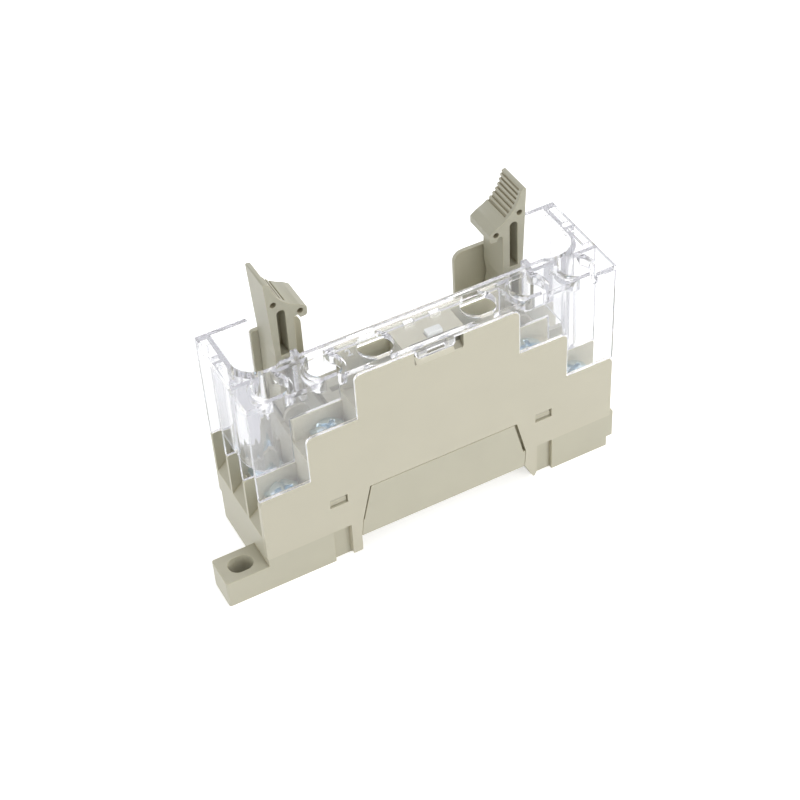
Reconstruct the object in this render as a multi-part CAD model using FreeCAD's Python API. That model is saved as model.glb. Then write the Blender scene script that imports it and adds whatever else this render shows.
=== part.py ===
import FreeCAD, Part
import math
import os

# Relay socket for a slim four-pole relay: a stepped terminal housing for a 35 mm rail or one
# screw, a clear cover over the screw terminals and two levers that hold and lift the relay.
# All sizes are in millimetres. x runs along the socket from the left end of the housing,
# y from the front face to the back, z up from the underside.

# Housing
housing_length = 75.3
housing_depth = 22.3
side_plate_thickness = 1.2
rear_wall_thickness = 0.9
partition_thickness = 0.9
inner_wall_thickness = 0.8
small_gap = 0.1
part_clearance = 0.3
slip_clearance = 0.15
edge_radius = 0.3
overcut = 1.0

# Terminal steps, from the outer end inwards
step_length = 10.4
first_step_top = 24.1
second_step_top = 34.8
third_step_top = 45.2
first_terminal_level = 18.9
second_terminal_level = 29.6
third_terminal_level = 37.5
step_corner_radius = 1.2
partition_drop = 0.5
partition_setback = 0.3
partition_corner_radius = 0.6
column_count = 3

# Wire ramp and end faces
ramp_foot_height = 13.6
ramp_length = 2.8
end_band_foot = 8.0
end_band_relief = 0.3

# Terminals: strip, clamp plate and screw
screw_setback = 6.3
strip_thickness = 1.0
strip_side_gap = 0.4
strip_pad_inner_reach = 3.4
strip_pad_outer_reach = 3.2
strip_run_height = 2.6
strip_sheet = 0.8
front_run_inset = 1.8
middle_run_inset = 1.2
rear_run_inset = 1.6
first_run_level = 13.0
upper_run_level = 16.0
middle_run_level = 8.5
rear_run_level = 13.5
clamp_length = 6.6
clamp_side_gap = 0.3
clamp_thickness = 0.8
clamp_end_rise = 0.4
clamp_corner_cut = 0.5
clamp_hole_radius = 1.5
shank_radius = 1.25
shank_fit = 0.06
shank_length = 6.0
head_side_gap = 0.14
head_height = 2.0
head_bevel_height = 0.45
head_bevel_run = 0.9
driver_slot_width = 0.7
driver_slot_depth = 1.1
driver_cross_share = 0.62
well_half_width = 1.9

# Relay that the socket takes, and its bay
relay_length = 40.0
relay_height = 23.5
relay_end_play = 0.5
deck_height = 27.0
bay_wall_thickness = 1.25
blade_slot_length = 3.2
blade_slot_width = 1.4
clip_pocket_length = 4.4
clip_pocket_width = 3.2
clip_pocket_roof = 1.5
clip_leaf = 0.4
clip_gap = 0.5
clip_height = 6.5
clip_width = 3.0
clip_row_front_inset = 2.7
clip_row_rear_inset = 3.2
clip_spacing = 6.0
clip_first_inset = 4.2

# Side plate
plate_foot = 8.65
plate_leg_outer = 17.5
plate_leg_width = 2.0
plate_leg_foot = 0.65
right_leg_outer = 16.9
right_leg_corner_run = 0.5
right_leg_corner_rise = 1.0
arch_top = 16.9
arch_top_inset = 22.0
arch_foot_inset = 20.0
arch_slit = 0.3
arch_skew = 0.6
lug_window_length = 3.7
lug_window_height = 2.1
lug_window_foot = 15.2
lug_window_inset = 13.6
clip_notch_width = 10.1
clip_notch_depth = 3.3
clip_notch_shift = 0.1
clip_notch_radius = 0.8
clip_notch_ramp = 1.2

# Front feet of the housing
foot_recess = 0.45
foot_block_length = 13.9
right_foot_block_length = 13.2
foot_pocket_depth = 1.3

# Rail seat and lock
rail_groove_width = 35.4
rail_groove_depth = 4.5
rail_groove_offset = 0.3
rail_lip_thickness = 1.0
rail_hook_reach = 1.65
rail_hook_setback = 5.4
hook_relief = 0.2
lock_gap_at_foot = 2.4
lock_gap_at_lip = 1.9
rail_lock_travel = 2.5
lock_width = 5.4
lock_flange = 0.8
lock_foot = 0.4
lock_top = 3.1
lock_flange_height = 0.9
lock_nose_drop = 1.3
lock_nose_depth = 1.6
lock_neck = 2.0
lock_flange_setback = 2.2
lock_flange_end_gap = 1.0
lock_slot_length = 1.6
lock_slot_width = 3.4
lock_nub = 0.6
lock_nub_length = 1.2
lock_tongue_length = 5.0
lock_tongue_width = 2.2
lock_cut = 0.6

# Mounting tab
tab_reach = 8.6
tab_width = 7.0
tab_height = 6.3
tab_slot_length = 5.0
tab_slot_width = 3.9
tab_slot_inset = 4.1
tab_corner_radius = 0.5
end_lip_reach = 1.0
end_lip_foot = 2.4
end_lip_top = 9.4
end_lip_radius = 0.6

# Rear guard ears behind the levers
ear_inner_end = 20.4
right_ear_inner_end = 22.4
ear_top = 44.3
ear_inner_radius = 2.0
ear_outer_radius = 0.6

# Release levers
lever_width = 7.3
lever_outer_foot = 11.75
lever_outer_knee = 11.8
lever_knee_height = 43.5
lever_knee_radius = 3.0
lever_tip_outer = 11.0
lever_tip_rise = 10.1
lever_tip_thickness = 0.85
lever_tip_slope = 0.25
lever_stem_inner = 16.1
lever_waist = 0.5
lever_waist_height = 38.0
lever_waist_radius = 1.5
lever_shoulder_rise = 3.0
lever_shoulder_radius = 2.0
lever_waist_drop = 2.5
hook_nose_reach = 2.75
hook_lip_height = 2.0
hook_lip_width = 1.5
hook_throat = 0.8
hook_undercut = 0.25
hook_nose_radius = 0.4
hook_lip_radius = 0.65
hook_throat_radius = 0.5
pad_floor_rise = 2.5
pad_centre_reach = 4.2
pad_centre_rise = 0.6
pad_end_angle = 250.0
pad_rim = 0.8
groove_count = 7
groove_depth = 0.35
groove_mouth_share = 0.6
groove_floor_share = 0.3
groove_start_angle = 185.5
groove_end_angle = 233.0
lever_slot_width = 1.7
lever_slot_foot = 43.3
lever_slot_rise = 3.2
lever_slot_wall = 1.1
lever_web = 0.9
core_hole_radius = 0.6
core_hole_depth = 2.2
upper_core_shift = 0.4
upper_core_rise = 1.7
lower_core_shift = 1.4
lower_core_rise = 1.5
hub_radius = 2.15
hub_drop = 2.5
hub_x = 13.9
trunnion_radius = 1.2
trunnion_length = 0.8
trunnion_fit = 0.06
cheek_thickness = 0.8
cheek_radius = 2.6
toe_reach = 6.1
toe_thickness = 1.0
toe_root = 1.0
toe_lift = 0.2
toe_bend_radius = 0.5
toe_room = 0.5

# Clear cover
cover_top = 47.2
cover_plate = 1.6
cover_wall = 0.9
cover_end_inset = 1.8
cover_corner_radius = 4.6
cover_rear_wall_length = 10.1
guide_hole_radius = 3.4
guide_collar = 0.7
guide_collar_depth = 1.4
window_margin = 0.5
window_rim = 0.6
cover_tongue_width = 7.9
cover_tongue_shift = -0.5
cover_tongue_depth = 1.8
cover_tongue_corner_run = 0.5
cover_tongue_corner_rise = 0.6
cover_tongue_slot_length = 3.6
cover_tongue_slot_height = 0.75
cover_tongue_slot_rise = 0.6
cover_post_inset = 13.2
cover_post_width = 1.2
cover_post_reach = 1.6
cover_post_depth = 10.0
cover_slot_length = 2.1
cover_slot_width = 1.0
cover_slot_spread = 2.65
cover_slot_setback = 0.3
strip_step_run = 1.2

# Indicator and coil suppression parts behind the clear cover
block_half_width = 6.3
block_wall = 0.8
chamber_foot = 28.5
chamber_top = 41.5
board_thickness = 0.8
board_inset = 3.2
board_edge = 0.4
board_foot_gap = 0.3
lens_length = 3.1
lens_width = 1.5
lens_front = 2.25
lens_rise = 0.8
lens_offset = 0.65
latch_room_length = 5.8
latch_room_height = 1.7
latch_room_depth = 0.55
lamp_length = 2.2
lamp_height = 1.6
lamp_gap = 0.2
lamp_drop = 2.5
diode_radius = 1.15
diode_length = 3.8
resistor_radius = 0.85
resistor_length = 3.4
lead_width = 0.5
lead_overhang = 0.9
lead_standoff = 0.3
diode_inset = 4.0
diode_rise = 3.0
resistor_inset = 4.0
resistor_rise = 6.5

# Values that follow from the sizes above
middle = housing_length / 2
step_tops = [first_step_top, second_step_top, third_step_top]
terminal_levels = [first_terminal_level, second_terminal_level, third_terminal_level]
step_ends = [step_length * (level + 1) for level in range(3)]
rear_wall_front = housing_depth - rear_wall_thickness
half_partition = partition_thickness / 2
column_boundary_front = housing_depth / column_count
column_boundary_rear = 2 * column_boundary_front
bay_front = column_boundary_front + bay_wall_thickness
clip_row_front = bay_front + clip_row_front_inset
clip_row_rear = rear_wall_front - clip_row_rear_inset
column_limits = [
    (side_plate_thickness, column_boundary_front - half_partition),
    (column_boundary_front + half_partition, column_boundary_rear - half_partition),
    (column_boundary_rear + half_partition, rear_wall_front),
]
column_centres = [(low + high) / 2 for low, high in column_limits]
column_width = column_limits[0][1] - column_limits[0][0]
strip_pad_width = column_width - 2 * strip_side_gap
clamp_width = column_width - 2 * clamp_side_gap
head_radius = column_width / 2 - head_side_gap
screw_xs = [step_length * level + screw_setback for level in range(3)]
terminal_floors = [level - strip_thickness for level in terminal_levels]
groove_left = middle - rail_groove_width / 2 + rail_groove_offset
groove_right = groove_left + rail_groove_width
bay_left = middle - relay_length / 2 - relay_end_play
relay_top = deck_height + relay_height
hub_z = deck_height + hub_drop
lever_wall_top = hub_z - part_clearance
lever_back = rear_wall_front - part_clearance
lever_front = lever_back - lever_width
cheek_back = lever_front - part_clearance
cheek_front = cheek_back - cheek_thickness
lever_bay_left = step_length + inner_wall_thickness
hook_underside = relay_top
lever_tip_height = hook_underside + lever_tip_rise
lever_slot_top = hook_underside + lever_slot_rise
pad_centre_height = lever_tip_height + pad_centre_rise
pad_radius = pad_centre_height - hook_underside - pad_floor_rise
block_left = middle - block_half_width
block_right = middle + block_half_width
board_front = side_plate_thickness + board_inset
leg_inner = plate_leg_outer + plate_leg_width
right_leg_end = housing_length - right_leg_outer
notch_centre = middle + clip_notch_shift
tongue_centre = middle + cover_tongue_shift
pad_centre_x = lever_stem_inner + pad_centre_reach
partition_tops = [top - partition_drop for top in step_tops]
lock_front = (housing_depth - lock_width) / 2
lock_back = lock_front + lock_width
lock_nose = groove_right - rail_hook_reach
lock_end = housing_length - part_clearance
overall_left = -tab_reach
overall_right = housing_length + end_lip_reach
origin = FreeCAD.Vector((overall_left + overall_right) / 2, housing_depth / 2, 0)


def block(x0, x1, y0, y1, z0, z1):
    """A box between three pairs of limits."""
    return Part.makeBox(x1 - x0, y1 - y0, z1 - z0, FreeCAD.Vector(x0, y0, z0))


def side_point(u, v, w):
    """A point of the side view: u along x, v up, w into the depth."""
    return FreeCAD.Vector(u, w, v)


def plan_point(u, v, w):
    """A point of the plan view: u along x, v into the depth, w up."""
    return FreeCAD.Vector(u, v, w)


def end_point(u, v, w):
    """A point of the end view: u into the depth, v up, w along x."""
    return FreeCAD.Vector(w, u, v)


def outline_edges(corners, place, level):
    """Straight sides joined by arcs. A corner is (u, v) or (u, v, radius)."""
    nearly_flat = math.radians(89.5)
    longest_share = 0.49
    same_point = 1e-6
    count = len(corners)
    starts = []
    ends = []
    arcs = []
    for index, corner in enumerate(corners):
        u, v = corner[0], corner[1]
        radius = corner[2] if len(corner) > 2 else 0
        before = corners[index - 1]
        after = corners[(index + 1) % count]
        to_before = (before[0] - u, before[1] - v)
        to_after = (after[0] - u, after[1] - v)
        length_before = math.hypot(*to_before)
        length_after = math.hypot(*to_after)
        one = (to_before[0] / length_before, to_before[1] / length_before)
        two = (to_after[0] / length_after, to_after[1] / length_after)
        cosine = max(-1.0, min(1.0, one[0] * two[0] + one[1] * two[1]))
        half_angle = math.acos(cosine) / 2
        if radius <= 0 or half_angle > nearly_flat:
            starts.append((u, v))
            ends.append((u, v))
            arcs.append(None)
            continue
        longest = longest_share * min(length_before, length_after)
        reach = min(radius / math.tan(half_angle), longest)
        true_radius = reach * math.tan(half_angle)
        bisector = (one[0] + two[0], one[1] + two[1])
        size = math.hypot(*bisector)
        depth = true_radius / math.sin(half_angle) - true_radius
        starts.append((u + one[0] * reach, v + one[1] * reach))
        ends.append((u + two[0] * reach, v + two[1] * reach))
        arcs.append((u + bisector[0] / size * depth, v + bisector[1] / size * depth))
    edges = []
    for index in range(count):
        if arcs[index]:
            points = [place(*point, level) for point in (starts[index], arcs[index], ends[index])]
            edges.append(Part.Arc(*points).toShape())
        following = starts[(index + 1) % count]
        if math.dist(ends[index], following) > same_point:
            edges.append(Part.makeLine(place(*ends[index], level), place(*following, level)))
    return edges


def prism(corners, place, low, high):
    """An outline carried straight from one level to another."""
    face = Part.Face(Part.Wire(outline_edges(corners, place, low)))
    return face.extrude(place(0, 0, high - low))


def side_prism(corners, y0, y1):
    return prism(corners, side_point, y0, y1)


def plan_prism(corners, z0, z1):
    return prism(corners, plan_point, z0, z1)


def end_prism(corners, x0, x1):
    return prism(corners, end_point, x0, x1)


def rod_y(x, z, radius, y0, y1):
    return Part.makeCylinder(radius, y1 - y0, FreeCAD.Vector(x, y0, z), FreeCAD.Vector(0, 1, 0))


def rod_z(x, y, radius, z0, z1):
    return Part.makeCylinder(radius, z1 - z0, FreeCAD.Vector(x, y, z0))


def rod_x(y, z, radius, x0, x1):
    return Part.makeCylinder(radius, x1 - x0, FreeCAD.Vector(x0, y, z), FreeCAD.Vector(1, 0, 0))


def joined(shapes):
    """All shapes as one solid, with its flat faces made whole."""
    return shapes[0].multiFuse(shapes[1:]).removeSplitter()


def mirrored(shape):
    """The same shape at the other end of the socket."""
    return shape.mirror(FreeCAD.Vector(middle, 0, 0), FreeCAD.Vector(1, 0, 0))


def both_ends(shapes):
    return shapes + [mirrored(shape) for shape in shapes]


def mirrored_corners(left):
    """A left half outline, from the bottom up, closed by its own reflection."""
    right = [(housing_length - corner[0],) + tuple(corner[1:]) for corner in reversed(left)]
    return left + right


# The terminal strips: for each terminal of one end, its column, step and clip position
front_run = side_plate_thickness + front_run_inset
middle_run = column_boundary_rear - middle_run_inset
rear_run = rear_wall_front - rear_run_inset
terminal_plan = [
    {"column": 0, "step": 0, "clip": 0, "row": clip_row_front, "run_y": front_run, "run_z": first_run_level},
    {"column": 0, "step": 1, "clip": 1, "row": clip_row_front, "run_y": front_run, "run_z": upper_run_level},
    {"column": 0, "step": 2, "clip": 2, "row": clip_row_front, "run_y": front_run, "run_z": upper_run_level},
    {"column": 1, "step": 0, "clip": 0.5, "row": clip_row_rear, "run_y": middle_run,
     "run_z": middle_run_level},
    {"column": 2, "step": 0, "clip": 1.5, "row": clip_row_rear, "run_y": rear_run, "run_z": rear_run_level},
]


def clip_x(terminal):
    """How far from the left end the relay clip of a terminal stands."""
    return bay_left + relay_end_play + clip_first_inset + terminal["clip"] * clip_spacing


def strip_bars(terminal, grow):
    """The sheet stretches of one strip, each made larger all round by grow."""
    x = screw_xs[terminal["step"]]
    y = column_centres[terminal["column"]]
    level = terminal_levels[terminal["step"]]
    run_y = terminal["run_y"]
    run_z = terminal["run_z"]
    leg_x = x + strip_pad_inner_reach
    target = clip_x(terminal)
    row = terminal["row"]
    half = strip_sheet / 2
    clip_foot = deck_height - clip_pocket_roof - part_clearance - clip_height
    across_low = min(run_y, row) - half
    across_high = max(run_y, row) + half
    bars = [
        (x - strip_pad_outer_reach, leg_x, y - strip_pad_width / 2, y + strip_pad_width / 2,
         level - strip_thickness, level),
        (leg_x - strip_sheet, leg_x, run_y - half, y + strip_pad_width / 2,
         run_z, level),
        (leg_x - strip_sheet, target + half, run_y - half, run_y + half,
         run_z, run_z + strip_run_height),
        (target - half, target + half, across_low, across_high,
         run_z, run_z + strip_run_height),
        (target - half, target + half, row - half, row + half,
         run_z, clip_foot + strip_sheet),
    ]
    if run_y > y:
        bars[1] = (leg_x - strip_sheet, leg_x, y - strip_pad_width / 2, run_y + half, run_z, level)
    return [block(x0 - grow, x1 + grow, y0 - grow, y1 + grow, z0 - grow, z1 + grow)
            for x0, x1, y0, y1, z0, z1 in bars]


def contact_strip(terminal):
    """A stamped strip: screw pad, run under the deck and a clip for one relay blade."""
    x = screw_xs[terminal["step"]]
    y = column_centres[terminal["column"]]
    level = terminal_levels[terminal["step"]]
    target = clip_x(terminal)
    row = terminal["row"]
    clip_top = deck_height - clip_pocket_roof - part_clearance
    clip_foot = clip_top - clip_height
    outer = clip_gap / 2 + clip_leaf
    mouth = outer + clip_gap / 2
    flare_foot = clip_top - clip_leaf * 2
    leaf_profile = [
        (row - outer, clip_foot),
        (row + outer, clip_foot),
        (row + outer, flare_foot),
        (row + mouth, clip_top),
        (row + mouth - clip_leaf, clip_top),
        (row + clip_gap / 2, flare_foot),
        (row + clip_gap / 2, clip_foot + strip_sheet),
        (row - clip_gap / 2, clip_foot + strip_sheet),
        (row - clip_gap / 2, flare_foot),
        (row - mouth + clip_leaf, clip_top),
        (row - mouth, clip_top),
        (row - outer, flare_foot),
    ]
    clip = end_prism(leaf_profile, target - clip_width / 2, target + clip_width / 2)
    strip = joined(strip_bars(terminal, 0) + [clip])
    hole = rod_z(x, y, shank_radius + shank_fit, level - 2 * strip_thickness, level + strip_thickness)
    return strip.cut(hole)


def strip_room(terminal):
    """The passage in the housing for one strip, its screw and its clip."""
    x = screw_xs[terminal["step"]]
    y = column_centres[terminal["column"]]
    level = terminal_levels[terminal["step"]]
    target = clip_x(terminal)
    row = terminal["row"]
    clip_top = deck_height - clip_pocket_roof
    pocket = block(target - clip_pocket_length / 2, target + clip_pocket_length / 2,
                   row - clip_pocket_width / 2, row + clip_pocket_width / 2,
                   clip_top - clip_height - 2 * part_clearance, clip_top)
    slot = block(target - blade_slot_length / 2, target + blade_slot_length / 2,
                 row - blade_slot_width / 2, row + blade_slot_width / 2,
                 clip_top - part_clearance, deck_height + part_clearance)
    well = block(x - well_half_width, x + well_half_width, y - well_half_width, y + well_half_width,
                 level - shank_length, level)
    return joined(strip_bars(terminal, slip_clearance) + [pocket, slot, well])


def clamp_plate(terminal):
    """A rectangular clamp plate whose ends rise a little to let the wire in."""
    x = screw_xs[terminal["step"]]
    y = column_centres[terminal["column"]]
    level = terminal_levels[terminal["step"]]
    half = clamp_length / 2
    flat = head_radius + small_gap
    section = [
        (x - flat, level),
        (x + flat, level),
        (x + half, level + clamp_end_rise),
        (x + half, level + clamp_end_rise + clamp_thickness),
        (x + flat, level + clamp_thickness),
        (x - flat, level + clamp_thickness),
        (x - half, level + clamp_end_rise + clamp_thickness),
        (x - half, level + clamp_end_rise),
    ]
    bent = side_prism(section, y - clamp_width / 2, y + clamp_width / 2)
    wide = clamp_width / 2
    cut = clamp_corner_cut
    blank = plan_prism([
        (x - half, y - wide + cut),
        (x - half + cut, y - wide),
        (x + half - cut, y - wide),
        (x + half, y - wide + cut),
        (x + half, y + wide - cut),
        (x + half - cut, y + wide),
        (x - half + cut, y + wide),
        (x - half, y + wide - cut),
    ], level - clamp_thickness, level + 3 * clamp_thickness)
    hole = rod_z(x, y, clamp_hole_radius, level - clamp_thickness, level + 3 * clamp_thickness)
    return bent.common(blank).cut(hole)


def terminal_screw(terminal):
    """A screw with a bevelled head, a cross and one long slot."""
    x = screw_xs[terminal["step"]]
    y = column_centres[terminal["column"]]
    seat = terminal_levels[terminal["step"]] + clamp_thickness
    top = seat + head_height
    tip = seat - shank_length
    side = [
        FreeCAD.Vector(x, y, tip),
        FreeCAD.Vector(x + shank_radius, y, tip),
        FreeCAD.Vector(x + shank_radius, y, seat),
        FreeCAD.Vector(x + head_radius, y, seat),
        FreeCAD.Vector(x + head_radius, y, top - head_bevel_height),
        FreeCAD.Vector(x + head_radius - head_bevel_run, y, top),
        FreeCAD.Vector(x, y, top),
        FreeCAD.Vector(x, y, tip),
    ]
    outline = Part.Face(Part.makePolygon(side))
    turned = outline.revolve(FreeCAD.Vector(x, y, 0), FreeCAD.Vector(0, 0, 1), 360)
    half = driver_slot_width / 2
    arm = head_radius * driver_cross_share
    bottom = top - driver_slot_depth
    slot = block(x - head_radius, x + head_radius, y - half, y + half, bottom, top + overcut)
    cross = block(x - half, x + half, y - arm, y + arm, bottom, top + overcut)
    return turned.cut(slot.fuse(cross))


def side_plate():
    """The stepped front plate with its two legs, the arch over the rail block and lug windows."""
    left = [(0, plate_foot, edge_radius), (0, step_tops[0], step_corner_radius)]
    for level in range(1, 3):
        left.append((step_ends[level - 1], step_tops[level - 1]))
        left.append((step_ends[level - 1], step_tops[level], step_corner_radius))
    right = [(housing_length - corner[0],) + tuple(corner[1:]) for corner in reversed(left)]
    underside = [
        (right_leg_end, plate_foot),
        (right_leg_end, plate_leg_foot + right_leg_corner_rise),
        (right_leg_end - right_leg_corner_run, plate_leg_foot),
        (groove_right + lock_gap_at_lip, plate_leg_foot),
        (groove_right, rail_groove_depth),
        (housing_length - arch_foot_inset + arch_skew, plate_foot),
        (housing_length - arch_top_inset + arch_skew, arch_top),
        (arch_top_inset, arch_top),
        (arch_foot_inset, plate_foot),
        (leg_inner, rail_groove_depth),
        (leg_inner, plate_leg_foot, edge_radius),
        (plate_leg_outer, plate_leg_foot),
        (plate_leg_outer, plate_foot),
    ]
    plate = side_prism(left + right + underside, 0, side_plate_thickness)
    window = block(lug_window_inset, lug_window_inset + lug_window_length, -overcut,
                   side_plate_thickness + overcut, lug_window_foot,
                   lug_window_foot + lug_window_height)
    return plate.cut(joined(both_ends([window]) + [clip_notch()]))


def clip_notch():
    """What the notch for the cover's tongue takes from the side plate: its floor is a ramp."""
    half = clip_notch_width / 2
    floor = step_tops[2] - clip_notch_depth
    above = step_tops[2] + overcut
    behind = side_plate_thickness + overcut
    opening = side_prism([
        (notch_centre - half, above),
        (notch_centre - half, floor, clip_notch_radius),
        (notch_centre + half, floor, clip_notch_radius),
        (notch_centre + half, above),
    ], -overcut, behind)
    over_ramp = end_prism([
        (-overcut, floor),
        (0, floor),
        (side_plate_thickness, floor + clip_notch_ramp),
        (behind, floor + clip_notch_ramp),
        (behind, above),
        (-overcut, above),
    ], notch_centre - clip_notch_width, notch_centre + clip_notch_width)
    return opening.common(over_ramp)


def column_mass(limits, levels, foot):
    """The solid under the terminal floors of one column, with the wire ramp at each end."""
    left = [
        (0, foot),
        (0, ramp_foot_height),
        (ramp_length, ramp_foot_height + ramp_length),
        (ramp_length, levels[0]),
    ]
    for level in range(1, len(levels)):
        left.append((step_ends[level - 1], levels[level - 1]))
        left.append((step_ends[level - 1], levels[level]))
    return side_prism(mirrored_corners(left), *limits)


def front_foot(length):
    """The block beside the plate's leg, set back a little from the front face, at the left end."""
    return block(end_band_relief, length, foot_recess, side_plate_thickness, 0, plate_foot - small_gap)


def end_lip():
    """The raised band along the right end face, cut out round the side plate's corner."""
    start = housing_length - end_band_relief
    band = side_prism([
        (start, end_lip_foot),
        (overall_right, end_lip_foot),
        (overall_right, end_lip_top, end_lip_radius),
        (start, end_lip_top),
    ], foot_recess, housing_depth - foot_recess)
    plate_corner = block(start - overcut, housing_length, 0, side_plate_thickness,
                         plate_foot - small_gap, end_lip_top + overcut)
    return band.cut(plate_corner)


def ear(inner_end):
    """The guard behind the left lever, as far along as its inner end."""
    return side_prism([
        (step_length, terminal_floors[0]),
        (step_length, ear_top, ear_outer_radius),
        (inner_end, ear_top, ear_inner_radius),
        (inner_end, terminal_floors[0]),
    ], rear_wall_front, housing_depth)


def housing_mass():
    """Everything of the housing that stands, before its passages are cut."""
    depth = (side_plate_thickness, housing_depth)
    first_floor = terminal_floors[0]
    lower = column_mass(depth, [first_floor], end_band_foot)
    skirt = side_prism(mirrored_corners([(end_band_relief, 0), (end_band_relief, end_band_foot)]), *depth)
    near_levels = terminal_floors + [step_tops[2] - partition_drop]
    near_left = [(0, end_band_foot), (0, ramp_foot_height), (ramp_length, ramp_foot_height + ramp_length)]
    near_left.append((ramp_length, near_levels[0]))
    risers = [step_ends[0], step_ends[1], block_left]
    for riser, below, above in zip(risers, near_levels, near_levels[1:]):
        near_left += [(riser, below), (riser, above)]
    near = side_prism(mirrored_corners(near_left), side_plate_thickness, column_boundary_front)
    inner_left = [(0, ramp_foot_height), (0, partition_tops[0], partition_corner_radius)]
    for level in range(1, 3):
        riser = step_ends[level - 1] + partition_setback
        inner_left.append((riser, partition_tops[level - 1]))
        inner_left.append((riser, partition_tops[level], partition_corner_radius))
    front_partition = side_prism(mirrored_corners(inner_left),
                                 column_boundary_front - half_partition,
                                 column_boundary_front + half_partition)
    bay_wall_end = step_ends[1] + partition_setback
    bay_wall = side_prism(mirrored_corners([
        (bay_wall_end, first_floor),
        (bay_wall_end, partition_tops[2], partition_corner_radius),
    ]), column_boundary_front, bay_front)
    deck = block(step_length, housing_length - step_length, column_boundary_front, housing_depth,
                 first_floor, deck_height)
    end_wall = [
        (0, ramp_foot_height), (0, partition_tops[0], partition_corner_radius),
        (step_length, partition_tops[0]), (step_length, ramp_foot_height),
    ]
    rear_partition = side_prism(end_wall, column_boundary_rear - half_partition,
                                column_boundary_rear + half_partition)
    rear_wall_end = side_prism(end_wall, rear_wall_front, housing_depth)
    cheek = block(step_length, bay_left, cheek_front, cheek_back, first_floor, hub_z)
    cheek_crown = rod_y(hub_x, hub_z, cheek_radius, cheek_front, cheek_back)
    lever_wall = block(step_length, lever_bay_left, column_boundary_front, housing_depth,
                       first_floor, lever_wall_top)
    foot = front_foot(foot_block_length)
    right_foot = mirrored(front_foot(right_foot_block_length))
    arch_right = housing_length - arch_foot_inset + arch_skew
    rail_block = side_prism([
        (leg_inner + small_gap, rail_groove_depth),
        (arch_foot_inset + small_gap, plate_foot),
        (arch_foot_inset + arch_slit, plate_foot),
        (arch_top_inset + arch_slit, arch_top - slip_clearance),
        (housing_length - arch_top_inset, arch_top - slip_clearance),
        (housing_length - arch_foot_inset, plate_foot),
        (arch_right - small_gap, plate_foot),
        (groove_right - small_gap, rail_groove_depth),
    ], 0, side_plate_thickness)
    lug = end_prism([
        (side_plate_thickness, lug_window_foot + slip_clearance),
        (foot_recess, lug_window_foot + slip_clearance),
        (foot_recess, lug_window_foot + lug_window_height / 2),
        (side_plate_thickness, lug_window_foot + lug_window_height - slip_clearance),
    ], lug_window_inset + slip_clearance, lug_window_inset + lug_window_length - slip_clearance)
    ears = [ear(ear_inner_end), mirrored(ear(right_ear_inner_end))]
    paired = both_ends([rear_partition, rear_wall_end, cheek, cheek_crown, lever_wall, lug])
    single = [lower, skirt, near, front_partition, bay_wall, deck, end_lip(), rail_block, foot, right_foot]
    return joined(single + ears + paired)


def mounting_tab():
    """The tab for one screw, with an oblong hole, at the left end."""
    front = foot_recess
    back = foot_recess + tab_width
    body = plan_prism([
        (-tab_reach, front, tab_corner_radius),
        (end_band_relief + small_gap, front),
        (end_band_relief + small_gap, back),
        (-tab_reach, back, tab_corner_radius),
    ], 0, tab_height)
    centre_y = (front + back) / 2
    radius = tab_slot_width / 2
    half = (tab_slot_length - tab_slot_width) / 2
    hole = joined([
        rod_z(-tab_slot_inset - half, centre_y, radius, -overcut, tab_height + overcut),
        rod_z(-tab_slot_inset + half, centre_y, radius, -overcut, tab_height + overcut),
        block(-tab_slot_inset - half, -tab_slot_inset + half, centre_y - radius, centre_y + radius,
              -overcut, tab_height + overcut),
    ])
    return body.cut(hole)


def rail_seat():
    """What is cut from the underside: the rail groove with its fixed hook, and front pockets."""
    lip = rail_groove_depth - rail_lip_thickness - hook_relief
    groove = side_prism([
        (groove_left, rail_groove_depth),
        (groove_left, lip),
        (groove_left + rail_hook_reach, lip - hook_relief),
        (groove_left + rail_hook_reach, lip / 2),
        (groove_left + rail_hook_reach - lip / 2, -overcut),
        (groove_right + lock_gap_at_foot, -overcut),
        (groove_right + lock_gap_at_lip, plate_leg_foot),
        (groove_right, rail_groove_depth),
    ], -overcut, housing_depth + overcut)
    pocket = block(foot_block_length, plate_leg_outer, -overcut, foot_pocket_depth,
                   -overcut, plate_foot)
    right_pocket = block(right_leg_end, housing_length - right_foot_block_length, -overcut,
                         foot_pocket_depth, -overcut, plate_foot)
    hook_setback = block(leg_inner, groove_left + rail_hook_reach + small_gap, -overcut,
                         rail_hook_setback, -overcut, rail_groove_depth)
    return [groove, pocket, right_pocket, hook_setback]


def lock_nub_place():
    """Where the stop nub stands along the rail lock."""
    return (groove_right + lock_end) / 2


def lock_channel():
    """The channel of the rail lock, with grooves for its flanges and room for its stop nub."""
    gap = part_clearance
    start = groove_right - gap
    end = overall_right + overcut
    middle_y = (lock_front + lock_back) / 2
    nub_x = lock_nub_place()
    return [
        block(start, end, lock_front - gap, lock_back + gap, -overcut, lock_top + gap),
        block(start, end, lock_front - lock_flange - gap, lock_back + lock_flange + gap,
              lock_top - lock_flange_height - gap, lock_top + gap),
        block(nub_x - lock_nub_length / 2 - gap, nub_x + lock_nub_length / 2 + rail_lock_travel + gap,
              middle_y - lock_tongue_width / 2 - gap, middle_y + lock_tongue_width / 2 + gap,
              lock_top, lock_top + lock_nub + gap),
    ]


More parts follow.
